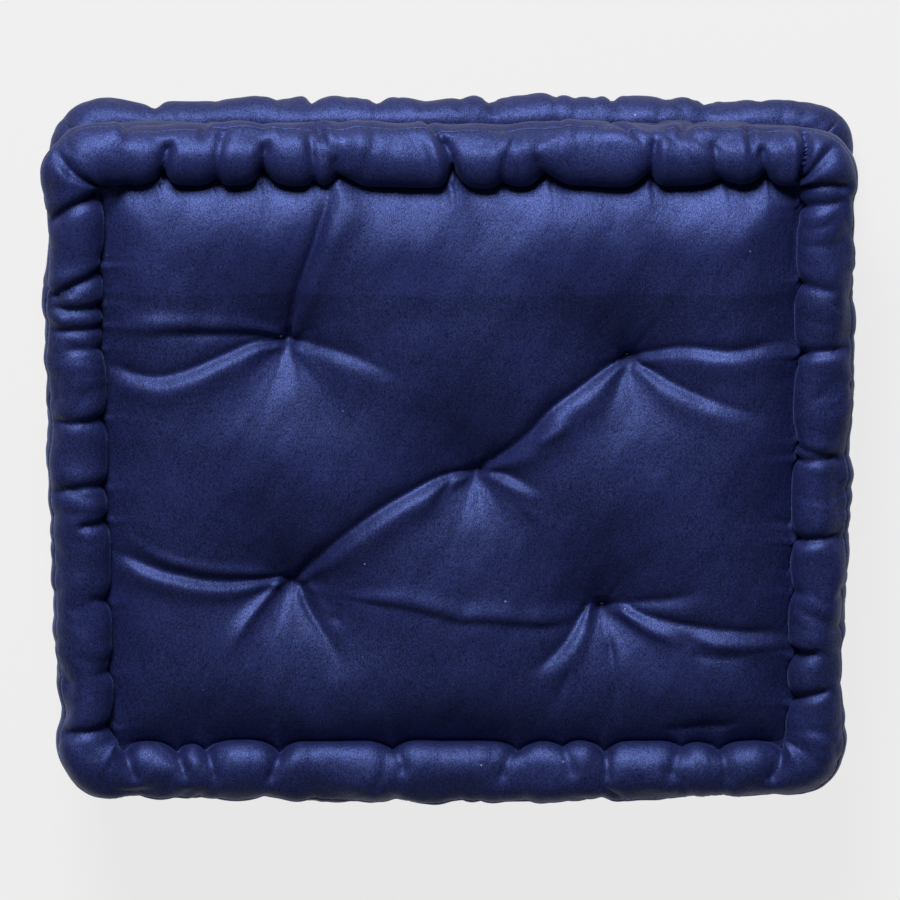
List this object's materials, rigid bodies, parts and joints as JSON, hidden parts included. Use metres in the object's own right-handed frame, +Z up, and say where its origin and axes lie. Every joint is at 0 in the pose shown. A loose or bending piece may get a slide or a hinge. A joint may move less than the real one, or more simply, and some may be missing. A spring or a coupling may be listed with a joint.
{
  "type": "floor cushion",
  "caption": "Flat rectangular floor cushion with padded rolled edges, hand-stitched grooves and tufted dimples on both faces.",
  "frame": {"origin": "on the floor under the middle of the cushion, which lies flat", "axes": "+Z up through the thickness, +X along the long side, +Y along the short side"},
  "size_m": [0.45, 0.39, 0.09],
  "materials": {
    "velvet": "cut pile, satin sheen",
    "thread": "waxed upholstery thread",
    "fibre": "loose polyester fibre",
    "twine": "matte laid twine"
  },
  "bodies": {
    "root": {"upper_face_panel": "velvet", "lower_face_panel": "velvet", "right_boxing_panel": "velvet", "far_boxing_panel": "velvet", "left_boxing_panel": "velvet", "near_boxing_panel": "velvet", "upper_edge_seam": "thread", "lower_edge_seam": "thread", "corner_seam_near_right": "thread", "corner_seam_far_right": "thread", "corner_seam_far_left": "thread", "corner_seam_near_left": "thread", "upper_roll_stitching_face": "thread", "upper_roll_stitching_boxing": "thread", "lower_roll_stitching_face": "thread", "lower_roll_stitching_boxing": "thread", "upper_roll_stuffing": "fibre", "lower_roll_stuffing": "fibre", "upper_batt": "fibre", "middle_batt": "fibre", "lower_batt": "fibre", "tuft_tie_centre": "twine", "tuft_tie_near_left": "twine", "tuft_tie_near_right": "twine", "tuft_tie_far_left": "twine", "tuft_tie_far_right": "twine"}
  },
  "joints": []
}
